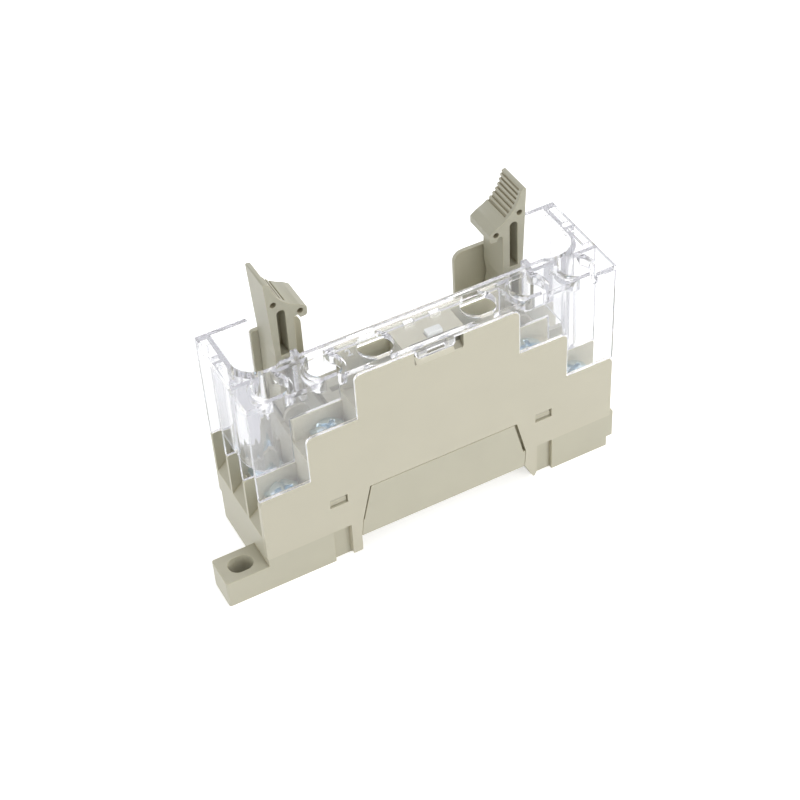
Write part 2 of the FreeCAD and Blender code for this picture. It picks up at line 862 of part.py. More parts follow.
def rail_lock():
    """The sliding hook that grips the rail, with a pull slot and a springy tongue."""
    middle_y = (lock_front + lock_back) / 2
    nose_foot = lock_top - lock_nose_drop + edge_radius
    nose = side_prism([
        (lock_nose, lock_top),
        (lock_nose, nose_foot, edge_radius),
        (groove_right + lock_nose_depth, lock_foot),
        (groove_right + lock_neck, lock_foot),
        (groove_right + lock_neck, lock_top),
    ], lock_front, lock_back)
    bar = block(groove_right + lock_nose_depth, lock_end, lock_front, lock_back, lock_foot, lock_top)
    flange = block(groove_right + lock_flange_setback, lock_end - lock_flange_end_gap,
                   lock_front - lock_flange, lock_back + lock_flange,
                   lock_top - lock_flange_height, lock_top)
    nub_x = lock_nub_place()
    nub = side_prism([
        (nub_x - lock_nub_length / 2, lock_top - small_gap),
        (nub_x - lock_nub_length / 4, lock_top + lock_nub),
        (nub_x + lock_nub_length / 2, lock_top + lock_nub),
        (nub_x + lock_nub_length / 2, lock_top - small_gap),
    ], middle_y - lock_tongue_width / 2, middle_y + lock_tongue_width / 2)
    half = lock_tongue_width / 2
    root = nub_x - lock_tongue_length
    tip = nub_x + lock_nub_length
    above = lock_top + overcut
    cuts = [
        block(root, tip, middle_y - half - lock_cut, middle_y - half, -overcut, above),
        block(root, tip, middle_y + half, middle_y + half + lock_cut, -overcut, above),
        block(tip - lock_cut, tip, middle_y - half, middle_y + half, -overcut, above),
        block(lock_end - 2 * lock_slot_length, lock_end - lock_slot_length,
              middle_y - lock_slot_width / 2, middle_y + lock_slot_width / 2, -overcut, above),
    ]
    return joined([nose, bar, flange, nub]).cut(joined(cuts))


def lever_bay():
    """Room for the hub, toe and trunnions of the left lever."""
    gap = part_clearance
    toe_right = hub_x + math.hypot(toe_reach, hub_drop + toe_thickness) + gap
    floor = deck_height - toe_thickness - toe_room
    room = block(lever_bay_left, bay_left, cheek_back, rear_wall_front, floor, relay_top)
    toe = block(bay_left - small_gap, toe_right, cheek_back, rear_wall_front, floor, deck_height + gap)
    pins = rod_y(hub_x, hub_z, trunnion_radius + trunnion_fit, cheek_front - overcut,
                 lever_back + trunnion_length + small_gap)
    return [room, toe, pins]


def board_outline(grow):
    """The small circuit board behind the clear cover, made larger all round by grow."""
    return block(block_left + board_edge - grow, block_right - board_edge + grow,
                 board_front - grow, board_front + board_thickness + grow,
                 chamber_foot + board_foot_gap - grow, chamber_top - board_foot_gap + grow)


def lens_left():
    """Where the light pipe begins, a little right of the middle."""
    return middle - lens_length / 2 + lens_offset


def indicator_chamber():
    """The chamber for the board, the window for the light pipe and the room behind the tongue."""
    chamber = block(block_left + block_wall, block_right - block_wall,
                    side_plate_thickness - overcut, column_boundary_front - half_partition,
                    chamber_foot, chamber_top)
    grow = slip_clearance
    window = block(lens_left() - grow, lens_left() + lens_length + grow, lens_front - grow,
                   lens_front + lens_width + grow, chamber_top - overcut, step_tops[2] + overcut)
    latch_room = block(tongue_centre - latch_room_length / 2, tongue_centre + latch_room_length / 2,
                       side_plate_thickness - overcut, side_plate_thickness + latch_room_depth,
                       partition_tops[2] - latch_room_height, step_tops[2] + overcut)
    return [chamber, board_outline(grow), window, latch_room]


def base_body():
    """The moulded housing."""
    solid = housing_mass().fuse(mounting_tab())
    rooms = []
    for terminal in terminal_plan:
        room = strip_room(terminal)
        rooms += [room, mirrored(room)]
    rooms += both_ends(lever_bay())
    rooms += rail_seat()
    rooms += lock_channel()
    rooms += indicator_chamber()
    for cutter in rooms:
        solid = solid.cut(cutter)
    return solid.removeSplitter()


def pad_point(angle, radius):
    """A point near the hollow finger pad of the left lever."""
    return (pad_centre_x + radius * math.cos(math.radians(angle)),
            pad_centre_height + radius * math.sin(math.radians(angle)))


def lever_outline():
    """The side view of the left lever, from its foot up the outer face and down the inner."""
    nose_x = lever_stem_inner + hook_nose_reach
    lip_x = nose_x - hook_lip_width
    return [
        (lever_outer_foot, hub_z),
        (lever_outer_knee, lever_knee_height, lever_knee_radius),
        (lever_tip_outer, lever_tip_height, edge_radius),
        (lever_tip_outer + lever_tip_thickness, lever_tip_height - lever_tip_slope, edge_radius),
        pad_point(pad_end_angle, pad_radius),
        (nose_x, hook_underside + hook_lip_height, hook_nose_radius),
        (nose_x, hook_underside, hook_lip_radius),
        (lip_x, hook_underside, edge_radius),
        (lip_x - hook_undercut, hook_underside + hook_throat, hook_throat_radius),
        (lever_stem_inner, hook_underside + hook_throat, hook_throat_radius),
        (lever_stem_inner, lever_waist_height + lever_shoulder_rise, lever_shoulder_radius),
        (lever_stem_inner - lever_waist, lever_waist_height, lever_waist_radius),
        (lever_stem_inner, lever_waist_height - lever_waist_drop, lever_waist_radius),
        (lever_stem_inner, hub_z),
    ]


def finger_pad():
    """What is hollowed from the lever's head: a round dish, and grip grooves short of its front rim."""
    dish = rod_y(pad_centre_x, pad_centre_height, pad_radius, lever_front - overcut, lever_back + overcut)
    pitch = (groove_end_angle - groove_start_angle) / groove_count
    mouth = pitch * groove_mouth_share / 2
    floor = pitch * groove_floor_share / 2
    cuts = [dish]
    for groove in range(groove_count):
        angle = groove_start_angle + (groove + 0.5) * pitch
        cuts.append(side_prism([
            pad_point(angle - mouth, pad_radius - small_gap),
            pad_point(angle - floor, pad_radius + groove_depth),
            pad_point(angle + floor, pad_radius + groove_depth),
            pad_point(angle + mouth, pad_radius - small_gap),
        ], lever_front + pad_rim, lever_back + overcut))
    return cuts


def release_lever():
    """The left lever: stem, ribbed pad, hook, toe and moulded trunnions."""
    body = side_prism(lever_outline(), lever_front, lever_back)
    hub = rod_y(hub_x, hub_z, hub_radius, lever_front, lever_back)
    pins = rod_y(hub_x, hub_z, trunnion_radius, lever_front - trunnion_length,
                 lever_back + trunnion_length)
    toe_top = deck_height - small_gap
    toe = side_prism([
        (hub_x - toe_root, hub_z - hub_radius + edge_radius),
        (hub_x, toe_top - toe_thickness - small_gap, toe_bend_radius),
        (hub_x + toe_reach, toe_top - toe_thickness, edge_radius),
        (hub_x + toe_reach, toe_top, edge_radius),
        (hub_x + hub_radius, deck_height + toe_lift),
        (hub_x + hub_radius - edge_radius, hub_z),
        (hub_x, hub_z),
    ], lever_front, lever_back)
    slot_left = lever_outer_knee + lever_slot_wall
    slot_right = slot_left + lever_slot_width
    depth = (lever_width - lever_web) / 2
    slot_outline = [
        (slot_left, lever_slot_foot),
        (slot_left, lever_slot_top, lever_slot_width / 2),
        (slot_right, lever_slot_top, lever_slot_width / 2),
        (slot_right, lever_slot_foot),
    ]
    lower_outline = [
        (slot_left, hub_z + hub_radius),
        (slot_left, lever_slot_foot - lever_slot_wall),
        (slot_right, lever_slot_foot - lever_slot_wall),
        (slot_right, hub_z + hub_radius),
    ]
    core_holes = [
        (slot_left - upper_core_shift, lever_slot_top + upper_core_rise),
        (lever_stem_inner + lower_core_shift, hook_underside + lower_core_rise),
    ]
    front_start = lever_front - overcut
    back_end = lever_back + overcut
    cuts = finger_pad()
    for near, far in ((front_start, lever_front + depth), (lever_back - depth, back_end)):
        cuts.append(side_prism(slot_outline, near, far))
        cuts.append(side_prism(lower_outline, near, far))
    for x, z in core_holes:
        cuts.append(rod_y(x, z, core_hole_radius, front_start, lever_front + core_hole_depth))
        cuts.append(rod_y(x, z, core_hole_radius, lever_back - core_hole_depth, back_end))
    return joined([body, hub, pins, toe]).cut(joined(cuts))


def notch_corners(inset, front, radius, back):
    """The plan of the cover's notch over the relay, at one offset from its curved wall."""
    left = [(inset, back), (inset, front, radius)]
    return mirrored_corners(left)


def inner_wall_line():
    """How far back the cover's curved wall stands over the front column."""
    return column_boundary_front + half_partition + slip_clearance


def cover_front_wall():
    """The clear front wall, cut away below in steps that follow the side plate."""
    gap = small_gap
    top_corners = [
        (0, step_tops[0] + gap),
        (0, cover_top),
        (housing_length, cover_top),
        (housing_length, step_tops[0] + gap),
    ]
    right_steps = []
    for level in range(1, 3):
        riser = step_ends[level - 1] - gap
        right_steps += [
            (housing_length - riser, step_tops[level - 1] + gap),
            (housing_length - riser, step_tops[level] + gap, step_corner_radius),
        ]
    left_steps = [(housing_length - corner[0],) + tuple(corner[1:]) for corner in reversed(right_steps)]
    return side_prism(top_corners + right_steps + left_steps, 0, cover_wall)


def curved_wall():
    """The wall that bends round behind the front screws and on past the rear ones."""
    rest = partition_tops[0] + small_gap
    line = inner_wall_line()
    beyond = housing_depth + overcut
    outside = plan_prism(notch_corners(cover_end_inset, line - cover_wall,
                                       cover_corner_radius + cover_wall, housing_depth),
                         rest, cover_top)
    inside = plan_prism(notch_corners(cover_end_inset + cover_wall, line, cover_corner_radius, beyond),
                        rest - overcut, cover_top + overcut)
    over_partition = []
    for level in range(1, 3):
        riser = step_ends[level - 1] - small_gap
        over_partition.append(block(riser, housing_length - riser, 0, bay_front + cover_wall,
                                    0, partition_tops[level] + small_gap))
    return outside.cut(inside).cut(joined(over_partition))


def cover_fins():
    """The thin walls over the partitions at the left end, and the short rear wall."""
    rest = partition_tops[0] + small_gap
    beyond = housing_depth + overcut
    front_low, front_high = column_boundary_front - half_partition, column_boundary_front + half_partition
    rear_low, rear_high = column_boundary_rear - half_partition, column_boundary_rear + half_partition
    corner_fin = block(0, cover_end_inset + cover_corner_radius, front_low, front_high, rest, cover_top)
    notch = plan_prism(notch_corners(cover_end_inset + small_gap,
                                     inner_wall_line() - cover_wall + small_gap,
                                     cover_corner_radius + cover_wall, beyond),
                       0, cover_top + overcut)
    fin = block(0, cover_end_inset + small_gap, rear_low, rear_high, rest, cover_top)
    rear = block(0, cover_rear_wall_length, housing_depth - cover_wall, housing_depth, rest, cover_top)
    return [corner_fin.cut(notch), fin, rear]


def cover_strip():
    """The top plate with its notch, driver holes, end windows and small slots."""
    line = inner_wall_line()
    under = cover_top - cover_plate
    below = under - overcut
    above = cover_top + overcut
    plate = block(0, housing_length, 0, housing_depth, under, cover_top)
    notch = plan_prism(notch_corners(cover_end_inset + cover_wall, line, cover_corner_radius,
                                     housing_depth + overcut), below, above)
    lip = plan_prism([
        (step_length - strip_step_run, line - small_gap),
        (step_length, bay_front),
        (housing_length - step_length, bay_front),
        (housing_length - step_length + strip_step_run, line - small_gap),
    ], under, cover_top)
    windows = [block(window_margin, cover_end_inset, low + window_rim, high - window_rim, below, above)
               for low, high in column_limits[1:]]
    collar_foot = under - guide_collar_depth
    holes = [rod_z(x, column_centres[0], guide_hole_radius, collar_foot - overcut, above)
             for x in screw_xs]
    column_room = block(0, housing_length, cover_wall - small_gap, line - cover_wall + small_gap,
                        0, cover_top)
    collars = [rod_z(x, column_centres[0], guide_hole_radius + guide_collar, collar_foot,
                     cover_top - small_gap).common(column_room) for x in screw_xs[:2]]
    slot_back = column_boundary_front - half_partition - cover_slot_setback
    slots = []
    for side in (-1, 1):
        centre = middle + side * cover_slot_spread
        slots.append(block(centre - cover_slot_length / 2, centre + cover_slot_length / 2,
                           slot_back - cover_slot_width, slot_back, below, above))
    shell = joined([plate.cut(notch), lip] + both_ends(collars))
    return shell.cut(joined(both_ends(windows + holes) + slots))


def terminal_cover():
    """The clear cover over the screws, open over the relay."""
    half = cover_tongue_width / 2
    foot = step_tops[2] - cover_tongue_depth
    corner = foot + cover_tongue_corner_rise
    tongue = side_prism([
        (tongue_centre - half, cover_top - cover_plate),
        (tongue_centre - half, corner),
        (tongue_centre - half + cover_tongue_corner_run, foot),
        (tongue_centre + half - cover_tongue_corner_run, foot),
        (tongue_centre + half, corner),
        (tongue_centre + half, cover_top - cover_plate),
    ], 0, cover_wall)
    slot_foot = foot + cover_tongue_slot_rise
    slot_half = cover_tongue_slot_length / 2
    slot = block(tongue_centre - slot_half, tongue_centre + slot_half,
                 -overcut, cover_wall + overcut, slot_foot, slot_foot + cover_tongue_slot_height)
    post = block(cover_post_inset, cover_post_inset + cover_post_width, bay_front - cover_wall,
                 bay_front + cover_post_reach, cover_top - cover_post_depth, cover_top)
    walls = [cover_front_wall(), curved_wall()] + both_ends(cover_fins() + [post])
    return joined([cover_strip(), tongue.cut(slot)] + walls)


def lamp_top():
    """Top of the lamp on the board, just under the light pipe."""
    return chamber_top - lamp_drop


def light_pipe():
    """The clear window piece over the lamp."""
    return block(lens_left(), lens_left() + lens_length, lens_front, lens_front + lens_width,
                 lamp_top() + lamp_gap, partition_tops[2] + lens_rise)


def indicator_lamp():
    """The small lamp that stands on the board's front face."""
    centre = lens_left() + lens_length / 2
    return block(centre - lamp_length / 2, centre + lamp_length / 2, lens_front, board_front,
                 lamp_top() - lamp_height, lamp_top())


def leaded_part(x, z, radius, length):
    """A round component that lies along x in front of the board, on two bent leads."""
    y = board_front - radius - lead_standoff
    body = rod_x(y, z, radius, x - length / 2, x + length / 2)
    half = lead_width / 2
    left = x - length / 2 - lead_overhang
    right = x + length / 2 + lead_overhang
    lead = block(left - half, right + half, y - half, y + half, z - half, z + half)
    feet = [block(end - half, end + half, y, board_front, z - half, z + half) for end in (left, right)]
    return joined([body, lead] + feet)


def circuit_board():
    return board_outline(0)


def export(shape, node):
    """Writes one piece, with the origin under the middle of the whole socket."""
    placed = shape.copy()
    placed.translate(origin.negative())
    placed.exportStep("parts/" + node + ".step")


def main():
    os.makedirs("parts", exist_ok=True)
    export(base_body(), "base_body")
    export(side_plate(), "front_side_plate")
    export(terminal_cover(), "terminal_cover")
    lever = release_lever()
    export(lever, "left_release_lever")
    export(mirrored(lever), "right_release_lever")
    export(rail_lock(), "rail_lock_slider")
    export(circuit_board(), "indicator_board")
    export(indicator_lamp(), "indicator_lamp")
    export(light_pipe(), "indicator_lens")
    diode = leaded_part(block_left + diode_inset, chamber_foot + diode_rise, diode_radius, diode_length)
    export(diode, "surge_diode")
    resistor = leaded_part(block_right - resistor_inset, chamber_foot + resistor_rise,
                           resistor_radius, resistor_length)
    export(resistor, "lamp_resistor")
    for side, reflect in (("left", False), ("right", True)):
        for number, terminal in enumerate(terminal_plan, start=1):
            pieces = {
                "contact_strip": contact_strip(terminal),
                "clamp_plate": clamp_plate(terminal),
                "terminal_screw": terminal_screw(terminal),
            }
            for name, piece in pieces.items():
                node = side + "_" + name + "_" + str(number)
                export(mirrored(piece) if reflect else piece, node)


main()
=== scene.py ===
# %% [markdown]
# # A relay socket with a clear cover
#
# The object is a slim socket for a plug-in relay: a beige housing with stepped screw terminals,
# a front plate, a clear cover over the screws and two ribbed levers. The shapes come from the
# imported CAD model. This lesson adds what CAD leaves out: finishes, soft moulded edges, real
# screw heads, raised figures and light. A scene could be built around a rough copy of the model,
# but then the two would drift apart, so the CAD pieces themselves stay and get dressed.

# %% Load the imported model
import math

import bmesh
import bpy
import numpy as np
from mathutils import Matrix, Vector


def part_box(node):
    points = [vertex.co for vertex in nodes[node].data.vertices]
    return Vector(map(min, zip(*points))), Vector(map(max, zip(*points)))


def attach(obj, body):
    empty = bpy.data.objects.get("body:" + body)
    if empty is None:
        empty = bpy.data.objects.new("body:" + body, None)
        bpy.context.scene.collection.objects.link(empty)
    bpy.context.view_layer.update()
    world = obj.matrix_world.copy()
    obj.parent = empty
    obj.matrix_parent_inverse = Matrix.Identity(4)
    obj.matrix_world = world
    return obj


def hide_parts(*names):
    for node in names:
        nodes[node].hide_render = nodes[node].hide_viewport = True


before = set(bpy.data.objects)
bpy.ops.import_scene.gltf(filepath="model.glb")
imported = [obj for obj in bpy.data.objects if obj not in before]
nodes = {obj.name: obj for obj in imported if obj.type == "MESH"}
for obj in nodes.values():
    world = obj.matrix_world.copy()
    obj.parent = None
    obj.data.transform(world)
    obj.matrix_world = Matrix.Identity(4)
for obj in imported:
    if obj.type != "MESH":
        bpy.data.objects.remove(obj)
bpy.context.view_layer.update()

print("pieces of the socket:", len(nodes))

# %% [markdown]
# ## The camera
#
# The photograph looks down from the front left with a long lens. The viewing angle, distance and
# lens were worked out from edges whose real directions are known, so they are plain numbers here.
# A camera could be aimed with a constraint, but a direct matrix also holds the slight roll.

# %% Camera
camera_turn = math.radians(-25.67)
camera_rise = math.radians(43.61)
camera_roll = math.radians(-3.76)
camera_distance = 0.34788
camera_target = Vector((0.00101, 0.00035, 0.02333))
focal_in_pixels = 1826.04
picture_width = 800
sensor_width = 36.0

backwards = Vector((
    math.sin(camera_turn) * math.cos(camera_rise),
    -math.cos(camera_turn) * math.cos(camera_rise),
    math.sin(camera_rise),
))
level_right = (-backwards).cross(Vector((0, 0, 1))).normalized()
level_up = level_right.cross(-backwards)
picture_right = math.cos(camera_roll) * level_right + math.sin(camera_roll) * level_up
picture_up = math.cos(camera_roll) * level_up - math.sin(camera_roll) * level_right

camera_data = bpy.data.cameras.new("photo_camera")
camera_data.lens = focal_in_pixels / picture_width * sensor_width
camera_data.sensor_width = sensor_width
camera_data.clip_start = 0.01
camera_data.clip_end = 20.0
camera = bpy.data.objects.new("photo_camera", camera_data)
bpy.context.scene.collection.objects.link(camera)
turned = Matrix((picture_right, picture_up, backwards)).transposed().to_4x4()
camera.matrix_world = Matrix.Translation(camera_target + backwards * camera_distance) @ turned
bpy.context.scene.camera = camera
print("lens in mm:", round(camera_data.lens, 2))

# %% [markdown]
# ## Node materials in short steps
#
# Every finish here is a small network of shader nodes. Building each by hand would repeat the
# same lines, so one helper adds a node with its settings and another starts a material. Patterns
# read Object coordinates: each mesh keeps its place in its vertices, so the grain stays fixed
# to the piece when a lever swings.

# %% Helpers for materials
def add_node(tree, kind, **settings):
    """A node of that kind. A setting is an attribute of the node, or else one of its inputs."""
    made = tree.nodes.new(kind)
    for name, value in settings.items():
        if hasattr(made, name):
            setattr(made, name, value)
        else:
            made.inputs[name.replace("_", " ")].default_value = value
    return made


def new_finish(name):
    """A material with a Principled shader, and its tree, shader and object coordinates."""
    material = bpy.data.materials.new(name)
    material.use_nodes = True
    tree = material.node_tree
    shader = tree.nodes["Principled BSDF"]
    place = tree.nodes.new("ShaderNodeTexCoord").outputs["Object"]
    return material, tree, shader, place


def linear(red, green, blue):
    """A colour as read from a screen, 0 to 255, turned into the linear values that shaders use."""
    share = np.array([red, green, blue], float) / 255.0
    low = share / 12.92
    high = ((share + 0.055) / 1.055) ** 2.4
    return [float(v) for v in np.where(share <= 0.04045, low, high)] + [1.0]


print("mid grey is", [round(v, 3) for v in linear(128, 128, 128)])

# %% [markdown]
# Real surfaces are never even, and three patterns do most of the work here: a tone that drifts
# between two colours, a gloss that drifts with it, and bumps too small to be modelled. Each is
# one helper, fed by soft noise.

# %% Helpers for uneven surfaces
def noise_pattern(tree, place, scale, detail):
    """Soft noise fixed to the piece. A larger scale is finer, and detail adds smaller noise."""
    noise = add_node(tree, "ShaderNodeTexNoise", Scale=scale, Detail=detail)
    tree.links.new(place, noise.inputs["Vector"])
    return noise.outputs["Fac"]


def drifting_tone(tree, pattern, start, end, dark, light):
    """A colour that goes from dark to light while the pattern goes from start to end."""
    tone = tree.nodes.new("ShaderNodeValToRGB")
    ends = tone.color_ramp.elements
    ends[0].position = start
    ends[1].position = end
    ends[0].color = dark
    ends[1].color = light
    tree.links.new(pattern, tone.inputs["Fac"])
    return tone.outputs["Color"]


def drifting_gloss(tree, shader, pattern, roughness, spread):
    """Roughness follows the pattern, by spread to each side of its middle value."""
    gloss = add_node(tree, "ShaderNodeMapRange", To_Min=roughness - spread,
                     To_Max=roughness + spread)
    tree.links.new(pattern, gloss.inputs["Value"])
    tree.links.new(gloss.outputs["Result"], shader.inputs["Roughness"])


def fine_bumps(tree, shader, pattern, strength, depth):
    """Bumps of that depth in metres; strength is how clearly they show."""
    bump = add_node(tree, "ShaderNodeBump", Strength=strength, Distance=depth)
    tree.links.new(pattern, bump.inputs["Height"])
    tree.links.new(bump.outputs["Normal"], shader.inputs["Normal"])


def darker(colour, shares):
    """The colour with red, green and blue each lowered to a share of itself."""
    return [c * share for c, share in zip(colour[:3], shares)] + [1]


print("half of mid grey is", [round(v, 3) for v in darker(linear(128, 128, 128), [0.5] * 3)])

# %% [markdown]
# ## Moulded plastic
#
# Housing, plate and levers are injection moulded in warm beige. A mould leaves a very fine
# grain, slow drifts of tone where the melt cooled, and a gloss that is not quite even. One flat
# colour would look like paper. Two noise patterns give this: a wide one for tone and gloss and a
# fine one for the grain, which goes through a Bump node. Narrow holes and inner corners get a
# painted shade, warm and brown: an Ambient Occlusion node finds them and darkens them. The rounded
# edges get a painted highlight: finishes of their own, a little lighter and yellower.

# %% Moulded plastic
plastic_ior = 1.5
drift_scale = 95.0
drift_start, drift_end = 0.3, 0.7
gloss_spread = 0.06
grain_size = 0.00035
grain_depth = 0.00002
# painted shade in narrow holes and inner corners: how far the Ambient Occlusion node looks, the
# warm dark tint, and where the shade fades out
crevice_reach = 0.0014
crevice_shade_tint = (0.52, 0.44, 0.34)
crevice_closed, crevice_open = 0.1, 0.75


def moulded_plastic(name, colour, drift, roughness, grain):
    """colour is mixed towards a darker one by slow noise; fine noise of grain_size is bump.

    Painted shade: holes and inner corners narrower than crevice_reach turn warm and dark.
    """
    material, tree, shader, place = new_finish(name)
    slow = noise_pattern(tree, place, drift_scale, 3.0)
    tone = drifting_tone(tree, slow, drift_start, drift_end,
                         darker(colour, [1 - drift] * 3), colour)
    openness = add_node(tree, "ShaderNodeAmbientOcclusion", samples=4, only_local=True,
                        Distance=crevice_reach)
    clear = add_node(tree, "ShaderNodeMapRange", From_Min=crevice_closed, From_Max=crevice_open)
    tree.links.new(openness.outputs["AO"], clear.inputs["Value"])
    shade = add_node(tree, "ShaderNodeMixRGB", Color1=darker(colour, crevice_shade_tint))
    tree.links.new(clear.outputs["Result"], shade.inputs["Fac"])
    tree.links.new(tone, shade.inputs["Color2"])
    tree.links.new(shade.outputs["Color"], shader.inputs["Base Color"])
    drifting_gloss(tree, shader, slow, roughness, gloss_spread)
    fine = noise_pattern(tree, place, 1.0 / grain_size, 2.0)
    fine_bumps(tree, shader, fine, grain, grain_depth)
    shader.inputs["IOR"].default_value = plastic_ior
    return material


housing_finish = moulded_plastic("housing_beige", linear(196, 192, 172), 0.05, 0.42, 0.35)
plate_finish = moulded_plastic("plate_beige", linear(203, 198, 178), 0.03, 0.38, 0.25)
lever_finish = moulded_plastic("lever_beige", linear(182, 179, 160), 0.06, 0.40, 0.35)
lock_finish = moulded_plastic("lock_beige", linear(205, 200, 176), 0.05, 0.45, 0.35)
# the rounded edges get lighter, yellower copies of the finishes: a painted highlight
housing_edge_highlight = moulded_plastic("housing_edge_highlight", linear(206, 199, 170), 0.03, 0.36, 0.2)
plate_edge_highlight = moulded_plastic("plate_edge_highlight", linear(218, 209, 178), 0.02, 0.34, 0.2)
lever_edge_highlight = moulded_plastic("lever_edge_highlight", linear(198, 188, 154), 0.03, 0.34, 0.2)
print("moulded finishes:", housing_finish.name, plate_finish.name, lever_finish.name)

# %% [markdown]
# ## Clear plastic
#
# The cover is polished polycarbonate. It could be faked with a see-through mix, but its wall
# edges would then vanish; true refraction makes them catch light as the real ones do. Four small
# things make it plastic and not glass: a faint milky haze in the wall, a painted white glow on
# the cut edges, a painted pale grey glow where light is trapped in a wall, and lamp light
# passing straight through to the screws, as it does through a thin wall.

# %% Clear plastic
ripple_scale = 220.0
ripple_depth = 0.0002


def clear_plastic(name, colour, roughness, ripple, haze=0.0):
    """Refracting plastic with slow ripples; haze is the share of light that scatters white."""
    material, tree, shader, place = new_finish(name)
    shader.inputs["Base Color"].default_value = colour
    shader.inputs["Roughness"].default_value = roughness
    shader.inputs["IOR"].default_value = plastic_ior
    shader.inputs["Transmission Weight"].default_value = 1.0 - haze
    fine_bumps(tree, shader, noise_pattern(tree, place, ripple_scale, 1.0), ripple, ripple_depth)
    return material


cover_finish = clear_plastic("cover_clear", [0.965, 0.967, 0.975, 1.0], 0.02, 0.02, haze=0.06)
cover_tree = cover_finish.node_tree
cover_place = cover_tree.nodes["Texture Coordinate"].outputs["Object"]
print("clear finish:", cover_finish.name)

# %% [markdown]
# Some looks belong to one place on a piece: a cut edge, a slot, a recess. A painted picture could
# mark them, but the piece would have to be unwrapped first. A few sums on the object coordinates
# do it as well: they give 1 inside the place and 0 outside it, and that mask then steers a glow
# or a tone.

# %% Helpers for masks
def math_node(tree, operation, first, second=None):
    """The result of one sum on two values; a value is a number or another node's output."""
    made = add_node(tree, "ShaderNodeMath", operation=operation)
    for which, value in enumerate((first, second)):
        if isinstance(value, (int, float)):
            made.inputs[which].default_value = value
        elif value is not None:
            tree.links.new(value, made.inputs[which])
    return made.outputs[0]


def all_of(tree, *masks):
    """1 where every mask is 1, and 0 elsewhere."""
    together = masks[0]
    for mask in masks[1:]:
        together = math_node(tree, "MULTIPLY", together, mask)
    return together


def split_axes(tree, vector):
    """The X, Y and Z of a vector, as three outputs."""
    split = tree.nodes.new("ShaderNodeSeparateXYZ")
    tree.links.new(vector, split.inputs[0])
    return split.outputs


def inside_box(tree, place, low, high):
    """1 inside the box between two corners, and 0 outside it."""
    spot = split_axes(tree, place)
    limits = []
    for axis in range(3):
        limits.append(math_node(tree, "GREATER_THAN", spot[axis], low[axis]))
        limits.append(math_node(tree, "LESS_THAN", spot[axis], high[axis]))
    return all_of(tree, *limits)


print("mask helpers ready")

# %% [markdown]
# The cover's cut edges follow the steps of the plate, and on the real cover they draw a fine
# white line along it. Its tongue, which springs over the plate, looks a little frosted too, but
# the slot in the tongue does not. Both get a painted faint white glow, an emission that stands in
# for light that runs inside a clear wall and leaves it there.

# %% Painted glow on the cut edges and the tongue
steep = 0.6
foot_lowest, foot_highest = 0.023, 0.0455
wall_depth = 0.00095
stepped_half = 0.037
tongue_middle, tongue_half, tongue_low, tongue_high = 0.0033, 0.0037, 0.0436, 0.0451
opening_half, opening_low, opening_high = 0.0019, 0.0439, 0.0449
before_cover, behind_skin, behind_opening = -0.0112, -0.0111, -0.0101
# a painted white glow: its strength on the cut edges, and the share of it on the tongue
tongue_glow_share = 0.5
edge_glow = 0.5


def cut_edge_mask(tree, place, lowest, highest, wall_back, middle, half):
    """1 on the cut edges of the cover's walls, and 0 elsewhere.

    A face counts if it looks straight down between the two heights, or if it looks sideways in
    the front wall, nearer the middle of the socket than half its length.
    """
    facing = split_axes(tree, tree.nodes["Texture Coordinate"].outputs["Normal"])
    spot = split_axes(tree, place)
    down = math_node(tree, "LESS_THAN", facing["Z"], -steep)
    above = math_node(tree, "GREATER_THAN", spot["Z"], lowest)
    below = math_node(tree, "LESS_THAN", spot["Z"], highest)
    foot = all_of(tree, down, above, below)
    sideways = math_node(tree, "GREATER_THAN", math_node(tree, "ABSOLUTE", facing["X"]), steep)
    in_wall = math_node(tree, "LESS_THAN", spot["Y"], wall_back)
    away = math_node(tree, "ABSOLUTE", math_node(tree, "SUBTRACT", spot["X"], middle))
    inside = math_node(tree, "LESS_THAN", away, half)
    step = all_of(tree, sideways, in_wall, inside)
    return math_node(tree, "MAXIMUM", foot, step)


def whiten(material, mask, glow):
    """Painted white glow where the mask is 1, for light the edges scatter out of the wall."""
    shader = material.node_tree.nodes["Principled BSDF"]
    strength = math_node(material.node_tree, "MULTIPLY", mask, glow)
    shader.inputs["Emission Color"].default_value = (0.94, 0.95, 1.0, 1)
    material.node_tree.links.new(strength, shader.inputs["Emission Strength"])


cover_low, cover_high = (np.array(corner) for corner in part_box("terminal_cover"))
cut_edges = cut_edge_mask(
    cover_tree, cover_place, lowest=foot_lowest, highest=foot_highest,
    wall_back=float(cover_low[1]) + wall_depth,
    middle=float(cover_low[0] + cover_high[0]) / 2, half=stepped_half)
opening_faces = inside_box(
    cover_tree, cover_place,
    (tongue_middle - opening_half, before_cover, opening_low),
    (tongue_middle + opening_half, behind_opening, opening_high))
tongue_face = inside_box(
    cover_tree, cover_place,
    (tongue_middle - tongue_half, before_cover, tongue_low),
    (tongue_middle + tongue_half, behind_skin, tongue_high))
glowing_outline = math_node(cover_tree, "SUBTRACT", cut_edges, opening_faces)
tongue_glow_mask = math_node(cover_tree, "MULTIPLY", tongue_face, tongue_glow_share)
whiten(cover_finish, math_node(cover_tree, "MAXIMUM", glowing_outline, tongue_glow_mask), edge_glow)
print("the tongue is", round(tongue_half * 2000, 1), "mm wide")

# %% [markdown]
# Two more changes use the Light Path node, which tells what a ray has done so far. Without the
# first, the refracting cover would keep the lamps off the screws. Without the second, a ray that
# runs round inside a wall would end black, and the rims of the cover would look like smoked glass;
# the second ends such a ray in a painted pale grey glow instead.

# %% Light inside the cover
lamp_share = 0.72
most_bounces = 5
# the pale grey of the painted glow that ends light trapped in a wall
rim_glow_tone = linear(204, 204, 211)


